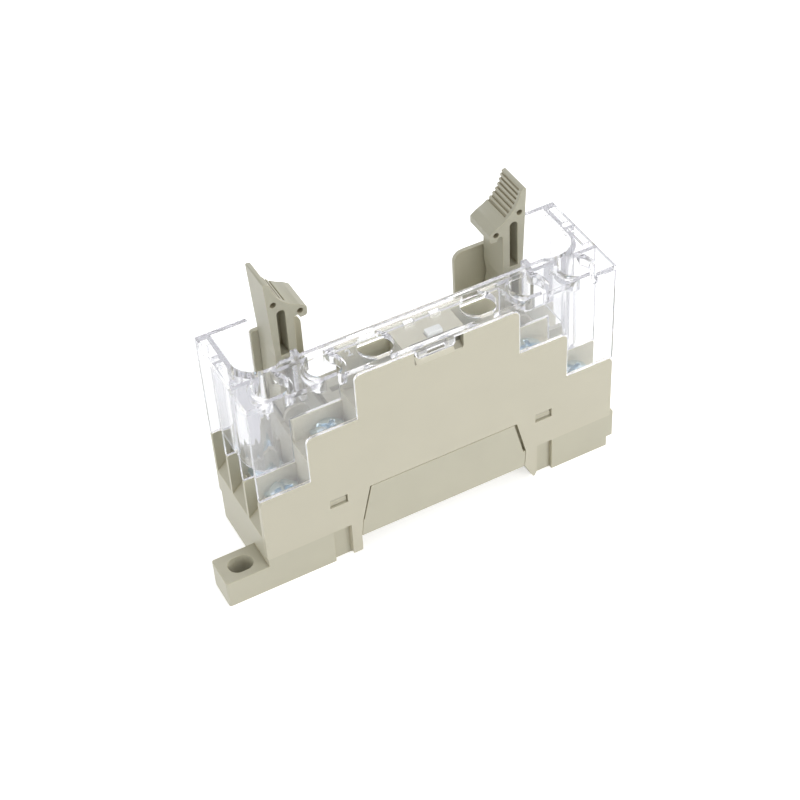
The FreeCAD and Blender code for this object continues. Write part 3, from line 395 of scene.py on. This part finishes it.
def let_lamps_through(material, share):
    """Lets a share of the lamps' light pass straight through, for shadows only."""
    tree = material.node_tree
    path = tree.nodes.new("ShaderNodeLightPath")
    open_wall = add_node(tree, "ShaderNodeBsdfTransparent", Color=(share, share, share, 1))
    mix = tree.nodes.new("ShaderNodeMixShader")
    tree.links.new(path.outputs["Is Shadow Ray"], mix.inputs["Fac"])
    tree.links.new(tree.nodes["Principled BSDF"].outputs["BSDF"], mix.inputs[1])
    tree.links.new(open_wall.outputs["BSDF"], mix.inputs[2])
    tree.links.new(mix.outputs["Shader"], tree.nodes["Material Output"].inputs["Surface"])


def end_trapped_light(material, bounces, tone):
    """Light that has met more walls than bounces ends in one painted pale glow, an emission."""
    tree = material.node_tree
    path = tree.nodes.new("ShaderNodeLightPath")
    caught = math_node(tree, "GREATER_THAN", path.outputs["Ray Depth"], bounces + 0.5)
    pale = add_node(tree, "ShaderNodeEmission", Color=tone)
    mix = tree.nodes.new("ShaderNodeMixShader")
    tree.links.new(caught, mix.inputs["Fac"])
    into = tree.nodes["Material Output"].inputs["Surface"]
    tree.links.new(into.links[0].from_socket, mix.inputs[1])
    tree.links.new(pale.outputs["Emission"], mix.inputs[2])
    tree.links.new(mix.outputs["Shader"], into)


let_lamps_through(cover_finish, lamp_share)
end_trapped_light(cover_finish, most_bounces, rim_glow_tone)
print("lamp light that passes the cover:", lamp_share)

# %% [markdown]
# The tongue of the cover springs over a recess in the plate. Behind it the real housing is open
# and lies in deep shade, while the CAD wall is shallow there. A painted shade inside one small box
# stands in for that shade, and it stays with the housing when the cover lifts off. The slot in the
# tongue and the two corners beside it get painted shade for the same reason.

# %% Painted shade in the recess behind the tongue
recess_left, recess_right = -0.00117, 0.00898
recess_front, recess_back = -0.0100, -0.0091
recess_floor, recess_top = 0.04305, 0.0453
corner_sides = ((-0.00125, -0.0006), (0.0072, 0.00905))
corner_back, corner_floor = -0.0099, 0.0421
recess_shade_share, corner_shade_share, opening_shade_share = 0.22, 0.5, 0.2
shade_warmth = (1.0, 0.98, 0.92)


def darken_recess(material, low, high, share):
    """Painted shade: the colour times share, a little warm, inside the box between two corners."""
    tree = material.node_tree
    colour = tree.nodes["Principled BSDF"].inputs["Base Color"]
    shade = add_node(tree, "ShaderNodeMixRGB", blend_type="MULTIPLY",
                     Color2=[share * warmth for warmth in shade_warmth] + [1])
    place = tree.nodes["Texture Coordinate"].outputs["Object"]
    tree.links.new(inside_box(tree, place, low, high), shade.inputs["Fac"])
    if colour.is_linked:
        tree.links.new(colour.links[0].from_socket, shade.inputs["Color1"])
    else:
        shade.inputs["Color1"].default_value = colour.default_value
    tree.links.new(shade.outputs["Color"], colour)


darken_recess(housing_finish, (recess_left, recess_front, recess_floor),
              (recess_right, recess_back, recess_top), recess_shade_share)
for left, right in corner_sides:
    darken_recess(plate_finish, (left, behind_skin, corner_floor),
                  (right, corner_back, recess_top), corner_shade_share)
darken_recess(cover_finish, (tongue_middle - opening_half, behind_skin, opening_low),
              (tongue_middle + opening_half, behind_opening, opening_high), opening_shade_share)
print("recess darkened in", housing_finish.name, plate_finish.name, cover_finish.name)

# %% [markdown]
# ## Zinc-plated steel
#
# Screws and clamp plates are steel with a bluish zinc coat. A bare metal shader mirrors the room
# too cleanly, so a soft cloudiness varies the roughness and a fine scratchy noise breaks up
# the highlights.

# %% Metals
cloud_scale = 900.0
cloud_start, cloud_end = 0.25, 0.75
cloud_tone = 0.86
streak_scale = 6000.0
streak_depth = 0.00001


def plated_metal(name, colour, roughness, cloud, scratch):
    """A metal whose tone and roughness follow soft clouds, with fine streaks as bump."""
    material, tree, shader, place = new_finish(name)
    shader.inputs["Metallic"].default_value = 1.0
    clouds = noise_pattern(tree, place, cloud_scale, 4.0)
    tone = drifting_tone(tree, clouds, cloud_start, cloud_end,
                         darker(colour, [cloud_tone] * 3), colour)
    tree.links.new(tone, shader.inputs["Base Color"])
    drifting_gloss(tree, shader, clouds, roughness, cloud)
    fine_bumps(tree, shader, noise_pattern(tree, place, streak_scale, 2.0), scratch, streak_depth)
    return material


zinc_finish = plated_metal("zinc_plate", linear(222, 240, 250), 0.22, 0.10, 0.7)
strip_finish = plated_metal("strip_metal", linear(214, 205, 184), 0.30, 0.08, 0.3)
print("metal finishes:", zinc_finish.name, strip_finish.name)

# %% [markdown]
# ## Small parts behind the plate
#
# A little board carries a lamp, a diode and a resistor. They hide behind the plate, so simple
# finishes will do, but the milky window over the lamp is seen from above.

# %% Finishes of the small parts
milky_share = 0.3
milky_reach = 0.001

board_finish = moulded_plastic("board_laminate", linear(150, 158, 112), 0.15, 0.5, 0.2)
lamp_finish = clear_plastic("lamp_body", linear(196, 226, 176), 0.15, 0.05)
diode_finish = moulded_plastic("diode_black", linear(38, 38, 40), 0.2, 0.35, 0.3)
resistor_finish = moulded_plastic("resistor_lacquer", linear(200, 178, 140), 0.1, 0.3, 0.2)
lens_finish = moulded_plastic("lens_milky", linear(232, 234, 232), 0.03, 0.25, 0.1)
lens_inputs = lens_finish.node_tree.nodes["Principled BSDF"].inputs
lens_inputs["Subsurface Weight"].default_value = milky_share
lens_inputs["Subsurface Radius"].default_value = (milky_reach, milky_reach, milky_reach)
print("small finishes:", board_finish.name, lamp_finish.name, diode_finish.name,
      resistor_finish.name, lens_finish.name)

# %% [markdown]
# ## Dressing the CAD pieces
#
# A CAD edge is perfectly sharp and never catches light, while every moulded edge has a small
# radius. Rounding could be modelled by hand, but three modifiers do it without touching the
# mesh: Weld closes the loose triangles, Decimate makes each flat face whole again, and Bevel
# rounds what is left.

# %% Rounded edges
weld_reach = 0.000001
flat_angle = math.radians(1.0)
sharp_angle = math.radians(32.0)
edge_rows = 2


def soften_edges(piece, width, edge_highlight_finish):
    """Rounds sharp CAD edges by width; the rounding may get its own painted highlight finish."""
    weld = piece.modifiers.new("close", "WELD")
    weld.merge_threshold = weld_reach
    whole = piece.modifiers.new("whole_faces", "DECIMATE")
    whole.decimate_type = "DISSOLVE"
    whole.angle_limit = flat_angle
    bevel = piece.modifiers.new("edge", "BEVEL")
    bevel.width = width
    bevel.segments = edge_rows
    bevel.limit_method = "ANGLE"
    bevel.angle_limit = sharp_angle
    bevel.harden_normals = True
    bevel.use_clamp_overlap = True
    if edge_highlight_finish:
        piece.data.materials.append(edge_highlight_finish)
        bevel.material = 1


print("edges sharper than", round(math.degrees(sharp_angle)), "degrees are rounded")

# %% [markdown]
# One table says what each piece is made of, how far its edges are rounded, and whether the
# rounding has a finish of its own, a lighter one that paints a highlight on the edge. The screws,
# clamps and strips come in tens, so a loop adds them by name.

# %% Finishes on the pieces
looks = {
    "base_body": (housing_finish, 0.00015, housing_edge_highlight),
    "front_side_plate": (plate_finish, 0.00018, plate_edge_highlight),
    "terminal_cover": (cover_finish, 0.00006, None),
    "left_release_lever": (lever_finish, 0.00012, lever_edge_highlight),
    "right_release_lever": (lever_finish, 0.00012, lever_edge_highlight),
    "rail_lock_slider": (lock_finish, 0.00015, None),
    "indicator_board": (board_finish, None, None),
    "indicator_lamp": (lamp_finish, None, None),
    "indicator_lens": (lens_finish, None, None),
    "surge_diode": (diode_finish, None, None),
    "lamp_resistor": (resistor_finish, None, None),
}
looks_in_tens = {
    "contact_strip": (strip_finish, None, None),
    "terminal_screw": (zinc_finish, None, None),
    "clamp_plate": (zinc_finish, 0.0001, None),
}
for name in nodes:
    for kind, look in looks_in_tens.items():
        if kind in name:
            looks[name] = look

for name, (finish, width, edge_highlight_finish) in looks.items():
    nodes[name].data.materials.clear()
    nodes[name].data.materials.append(finish)
softened = 0
for name, (finish, width, edge_highlight_finish) in looks.items():
    if width:
        soften_edges(nodes[name], width, edge_highlight_finish)
        softened += 1
print("dressed:", len(looks), "softened:", softened)

# %% [markdown]
# ## Screw heads
#
# The ten terminal screws show through the cover as small bright stars: low domed heads with one
# long slot and a shorter cross cut. A Boolean cut would leave long thin faces that shade badly.
# Here one grid makes the whole screw instead: down the rows runs the side profile from the crown
# to the tip, round the columns runs the turn, and wherever the driver cuts lie the height is
# pressed down to the floor of the cut.

# %% The side of a screw
dome_rows, rim_rows, shank_rows = 22, 5, 60
dome_drop = 0.24
rim_share = 0.14
shank_start, shank_end = 0.02, 0.94
tip_share = 0.75


def screw_profile(head_radius, head_height, shank_radius, length):
    """Radius and height of each row: dome, rounded rim, underside, shank and blunt tip.

    The dome falls with the square of the radius, the rim is a quarter circle, and the shank
    rows are spaced evenly so that the thread can wave them in and out.
    """
    rim = head_height * rim_share
    crown = np.linspace(0.0, 1.0, dome_rows)
    dome_radius = crown * (head_radius - rim)
    dome_height = head_height * (1.0 - dome_drop * crown ** 2)
    bend = np.linspace(0.0, np.pi / 2, rim_rows + 1)[1:]
    edge_radius = head_radius - rim + rim * np.sin(bend)
    edge_height = dome_height[-1] - rim + rim * np.cos(bend)
    under = np.array([head_radius, head_radius - rim / 2, shank_radius])
    under_height = np.array([rim / 2, 0.0, 0.0])
    shank_height = np.linspace(-shank_start * length, -shank_end * length, shank_rows)
    shank = np.full(shank_height.size, shank_radius)
    tip = np.array([shank_radius * tip_share, 0.0])
    tip_height = np.array([-length, -length])
    radius = np.concatenate([dome_radius, edge_radius, under, shank, tip])
    height = np.concatenate([dome_height, edge_height, under_height, shank_height, tip_height])
    return radius, height


print("rows in a screw:", screw_profile(2.75, 2.0, 1.25, 6.0)[0].size)

# %% [markdown]
# The same grid takes the driver cuts and the thread: the cuts are pressed into the height of the
# head, and the thread is a triangle wave in the radius of the shank that climbs one pitch a turn.

# %% One screw as a single surface
screw_columns = 120
thread_pitch = 0.0005
thread_depth = 0.16
thread_start, thread_end = 0.01, 0.95
cut_half, cross_arm, cut_floor = 0.13, 0.62, 0.45
cut_softness = 0.35


def press_driver_cuts(across, along, height, half, arm, floor):
    """Lowers height to floor inside the long slot and inside the shorter cross cut."""
    soft = half * cut_softness
    slot = np.clip((half - np.abs(along)) / soft + 0.5, 0.0, 1.0)
    cross = np.clip((half - np.abs(across)) / soft + 0.5, 0.0, 1.0)
    cross = cross * np.clip((arm - np.abs(along)) / soft + 0.5, 0.0, 1.0)
    depth = np.maximum(slot, cross) * np.maximum(height - floor, 0.0)
    return height - depth


def terminal_screw_surface(centre, head_radius, head_height, shank_radius, length, turn):
    """The points and faces of one screw, turned about its own axis by turn."""
    angle = np.linspace(0.0, 2.0 * np.pi, screw_columns, endpoint=False)[None, :]
    radius, height = screw_profile(head_radius, head_height, shank_radius, length)
    radius, height = radius[:, None], height[:, None] + 0.0 * angle
    on_shank = (height < -thread_start * length) & (height > -thread_end * length)
    phase = (height / thread_pitch - angle / (2.0 * np.pi)) % 1.0
    groove = thread_depth * shank_radius * (1.0 - np.abs(2.0 * phase - 1.0))
    radius = radius - groove * on_shank
    across, along = radius * np.cos(angle), radius * np.sin(angle)
    height = press_driver_cuts(across, along, height, cut_half * head_radius,
                               cross_arm * head_radius, cut_floor * head_height)
    east = across * math.cos(turn) - along * math.sin(turn) + centre[0]
    north = across * math.sin(turn) + along * math.cos(turn) + centre[1]
    points = np.stack([east, north, height + centre[2]], axis=-1).reshape(-1, 3)
    row = np.arange(radius.shape[0] - 1)[:, None] * screw_columns
    here = row + np.arange(screw_columns)[None, :]
    beside = row + (np.arange(screw_columns)[None, :] + 1) % screw_columns
    faces = np.stack([here, here + screw_columns, beside + screw_columns, beside], axis=-1)
    return points, faces.reshape(-1, 4)


print("thread pitch in mm:", thread_pitch * 1000)

# %% [markdown]
# Each screw takes its place and size from the CAD screw that it stands for, and turns with the
# same body. Real screws stop at any angle, so each gets its own turn, by a fixed step.

# %% Ten screws in place
same_point = 0.0000005
crease_angle = math.radians(40.0)
first_turn, turn_step, right_side_turn = 0.6, 0.9, 0.5
seat_to_top = 0.0020
shank_share = 1.25 / 2.75


def surface_piece(name, points, faces, finish, body):
    """A mesh object from arrays of points and faces, closed, smooth and riding on a body."""
    mesh = bpy.data.meshes.new(name)
    mesh.from_pydata(points.tolist(), [], faces.tolist())
    shape = bmesh.new()
    shape.from_mesh(mesh)
    bmesh.ops.remove_doubles(shape, verts=shape.verts, dist=same_point)
    bmesh.ops.recalc_face_normals(shape, faces=shape.faces)
    shape.to_mesh(mesh)
    shape.free()
    mesh.materials.append(finish)
    for polygon in mesh.polygons:
        polygon.use_smooth = True
    mesh.set_sharp_from_angle(angle=crease_angle)
    piece = bpy.data.objects.new(name, mesh)
    bpy.context.scene.collection.objects.link(piece)
    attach(piece, body)
    return piece


for side in ("left", "right"):
    for number in range(1, 6):
        node = f"{side}_terminal_screw_{number}"
        low, high = (np.array(corner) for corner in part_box(node))
        middle = (low + high) / 2
        seat = (middle[0], middle[1], high[2] - seat_to_top)
        radius = (high[1] - low[1]) / 2
        turn = first_turn + turn_step * number + (right_side_turn if side == "right" else 0.0)
        points, faces = terminal_screw_surface(
            seat, radius, seat_to_top, radius * shank_share, seat[2] - low[2], turn)
        screw = surface_piece(f"{side}_screw_head_{number}", points, faces, zinc_finish,
                              f"{side}_screw_{number}")
        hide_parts(node)
print("faces in each of the ten screws:", len(faces))

# %% [markdown]
# ## Raised figures on the cover
#
# Between the driver holes the real cover carries small raised terminal numbers. Here they are
# plain counting figures, in every gap but the one over the relay. Text is made a mesh first and
# only then moved to its place, so that the finished piece sits at the origin like every CAD piece.

# %% Raised figures
figure_size = 0.0024
figure_rise = 0.00012
shown_share = 0.8


def raised_figure(body_text, centre, size, rise, finish):
    """A figure cut from clear plastic, lying flat with its foot a little inside the cover."""
    text = bpy.data.curves.new("figure_text", "FONT")
    text.body = body_text
    text.size = size
    text.extrude = rise
    text.align_x = "CENTER"
    text.align_y = "CENTER"
    holder = bpy.data.objects.new("figure_holder", text)
    bpy.context.scene.collection.objects.link(holder)
    bpy.context.view_layer.update()
    shaped = holder.evaluated_get(bpy.context.evaluated_depsgraph_get())
    mesh = bpy.data.meshes.new_from_object(shaped)
    bpy.data.objects.remove(holder)
    mesh.transform(Matrix.Translation(Vector(centre)))
    mesh.materials.clear()
    mesh.materials.append(finish)
    piece = bpy.data.objects.new(f"cover_figure_{body_text}", mesh)
    bpy.context.scene.collection.objects.link(piece)
    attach(piece, "cover")


figure_finish = clear_plastic("figure_clear", [0.99, 0.99, 0.99, 1.0], 0.35, 0.0, haze=0.45)
screw_places = [
    (np.array(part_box(f"{side}_terminal_screw_{number}")[0])
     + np.array(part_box(f"{side}_terminal_screw_{number}")[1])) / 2
    for side, order in (("left", (1, 2, 3)), ("right", (3, 2, 1))) for number in order]
between = [(first + second) / 2 for first, second in zip(screw_places, screw_places[1:])]
over_the_relay = 2
figure_places = between[:over_the_relay] + between[over_the_relay + 1:]
figure_height = cover_high[2] + figure_rise * shown_share
for count, spot in enumerate(figure_places, start=1):
    raised_figure(str(count), (spot[0], spot[1], figure_height), figure_size, figure_rise,
                  figure_finish)
print("raised figures:", len(figure_places))

# %% [markdown]
# ## Floor, backdrop and light
#
# The photograph is a bright catalogue picture: white all round and hardly a shadow. White could
# be forced with strong lamps, but that would bleach the beige. Instead the lamps stay at a plain
# level and the floor and world simply look white to the camera.

# %% Floor
floor_half = 3.0
floor_rows = 9
floor_glow = 0.55

grid = np.linspace(-floor_half, floor_half, floor_rows)
floor_x, floor_y = np.meshgrid(grid, grid)
floor_points = np.stack([floor_x.ravel(), floor_y.ravel(), np.zeros(floor_x.size)], axis=1)
cells = np.arange(floor_rows - 1)
corner = (cells[:, None] * floor_rows + cells[None, :]).ravel()
floor_faces = np.stack([corner, corner + 1, corner + floor_rows + 1, corner + floor_rows], axis=1)
floor_mesh = bpy.data.meshes.new("floor")
floor_mesh.from_pydata(floor_points.tolist(), [], floor_faces.tolist())
floor = bpy.data.objects.new("floor", floor_mesh)
bpy.context.scene.collection.objects.link(floor)


def seen_as_background(tree):
    """1 for rays from the camera, a mirror or clear plastic, and 0 for the light on the object."""
    path = tree.nodes.new("ShaderNodeLightPath").outputs
    seen = math_node(tree, "MAXIMUM", path["Is Camera Ray"], path["Is Glossy Ray"])
    return math_node(tree, "MAXIMUM", seen, path["Is Transmission Ray"])


floor_finish, floor_tree, floor_shader, _ = new_finish("floor_white")
floor_shader.inputs["Base Color"].default_value = (0.9, 0.9, 0.9, 1)
floor_shader.inputs["Roughness"].default_value = 0.9
floor_shader.inputs["Emission Color"].default_value = (1, 1, 1, 1)
floor_light = math_node(floor_tree, "MULTIPLY", seen_as_background(floor_tree), floor_glow)
floor_tree.links.new(floor_light, floor_shader.inputs["Emission Strength"])
floor_mesh.materials.append(floor_finish)
print("faces in the floor:", len(floor_faces))

# %% [markdown]
# The world does two things, so it is a mix of two backgrounds: a soft bluish light for the object
# and plain white for the camera. The same Light Path sums as on the floor choose between them.

# %% World
sky_level = 0.42

world = bpy.data.worlds.new("studio")
bpy.context.scene.world = world
world.use_nodes = True
sky = world.node_tree
sky_light = sky.nodes["Background"]
sky_light.inputs["Color"].default_value = (0.97, 0.985, 1.0, 1)
sky_light.inputs["Strength"].default_value = sky_level
sky_white = add_node(sky, "ShaderNodeBackground", Color=(1, 1, 1, 1), Strength=1.0)
sky_mix = sky.nodes.new("ShaderNodeMixShader")
sky.links.new(seen_as_background(sky), sky_mix.inputs["Fac"])
sky.links.new(sky_light.outputs["Background"], sky_mix.inputs[1])
sky.links.new(sky_white.outputs["Background"], sky_mix.inputs[2])
sky.links.new(sky_mix.outputs["Shader"], sky.nodes["World Output"].inputs["Surface"])
print("world light:", sky_level)

# %% [markdown]
# In the photograph the plate is lighter than the tops of the tab and the levers, and no side is
# in deep shade. So the strongest soft lamp stands at the front and low, one stands at each end
# and one behind, for the sides that the photograph hides, and only a weak one is above.

# %% Lamps
def soft_lamp(name, place, size, power):
    """A square lamp that looks at the middle of the socket."""
    data = bpy.data.lights.new(name, "AREA")
    data.shape = "SQUARE"
    data.size = size
    data.energy = power
    lamp = bpy.data.objects.new(name, data)
    lamp.location = place
    lamp.rotation_mode = "QUATERNION"
    lamp.rotation_quaternion = (camera_target - Vector(place)).to_track_quat("-Z", "Y")
    bpy.context.scene.collection.objects.link(lamp)


soft_lamp("left_lamp", (-1.0, -0.1, 0.35), 0.6, 3.2)
soft_lamp("front_lamp", (0.4, -0.9, 0.5), 0.7, 4.9)
soft_lamp("right_lamp", (1.0, -0.1, 0.45), 0.6, 3.2)
soft_lamp("top_lamp", (0.15, 0.1, 1.1), 0.8, 0.5)
soft_lamp("back_lamp", (0.2, 1.0, 0.45), 0.7, 3.0)

# %% [markdown]
# ## Finishing
#
# Standard view transform keeps written colours.

# %% Finish
bpy.context.scene.view_settings.view_transform = "Standard"
bpy.context.view_layer.update()
